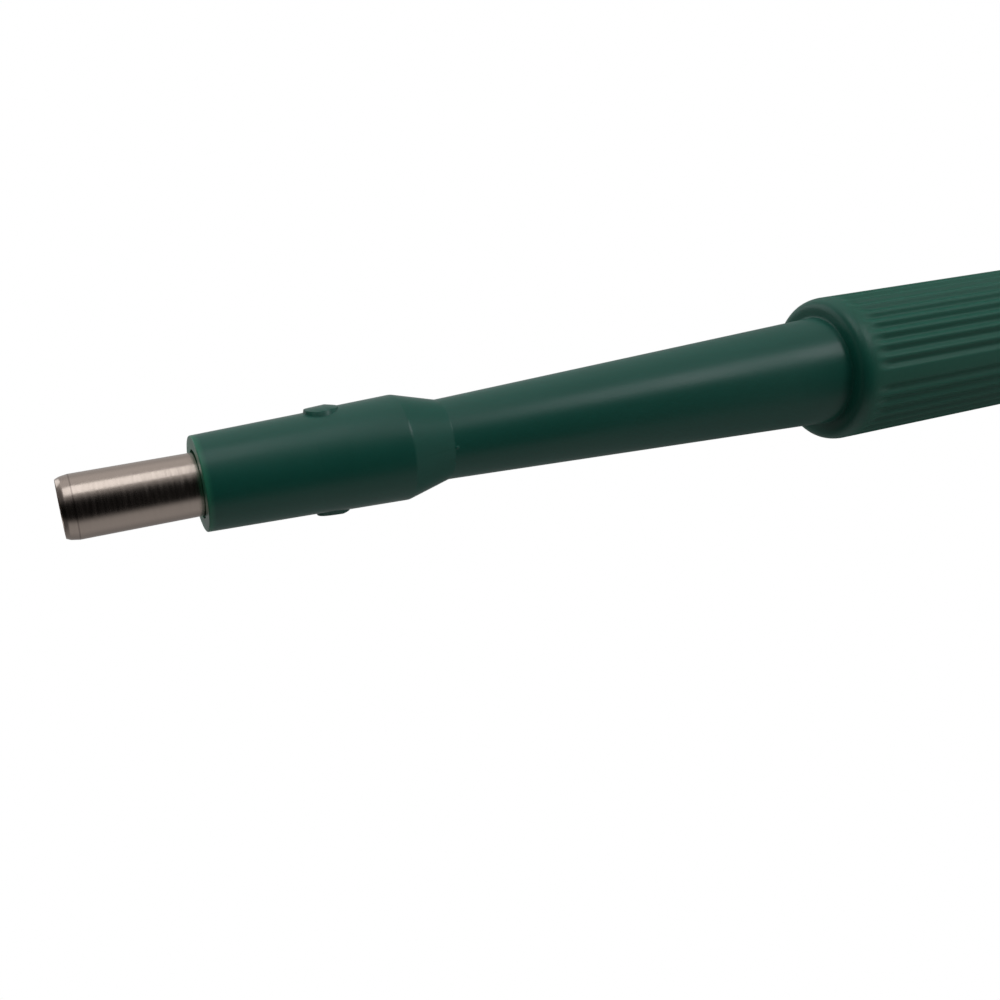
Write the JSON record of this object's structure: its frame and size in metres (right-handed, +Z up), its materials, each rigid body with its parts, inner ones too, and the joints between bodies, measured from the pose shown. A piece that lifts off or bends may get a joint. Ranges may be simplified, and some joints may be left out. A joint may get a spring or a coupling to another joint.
{
  "type": "sampling punch",
  "caption": "Hand-held sampling punch: bevelled steel tube in a moulded ribbed handle, with a spring-return plunger that pushes the cut core out.",
  "frame": {"origin": "centre of the cutting edge, on the punch's axis", "axes": "+X along the axis from the cutting edge to the thumb button, +Z up with the punch lying on its grip, the mould's parting lines at +Y and -Y"},
  "size_m": [0.1395, 0.0126, 0.0124],
  "materials": {
    "green_moulding": "satin moulded polypropylene",
    "natural_moulding": "natural acetal, moulded",
    "blade_steel": "drawn and ground stainless tube",
    "wire_steel": "bright stainless wire",
    "glue": "cured clear acrylic"
  },
  "bodies": {
    "handle": {"handle_body": "green_moulding", "end_cap": "green_moulding", "punch_blade": "blade_steel", "blade_glue": "glue", "return_spring": "wire_steel"},
    "plunger": {"plunger_stem": "natural_moulding", "ejector_rod": "wire_steel", "ejector_head": "natural_moulding", "thumb_button": "natural_moulding"}
  },
  "joints": [
    {"name": "plunger_slide", "type": "slide", "parent": "handle", "child": "plunger", "axis": [-1, 0, 0], "range_m": [0, 0.017], "stiffness_N_per_m": 180, "springref_m": -0.005, "deforming": ["return_spring"]}
  ]
}
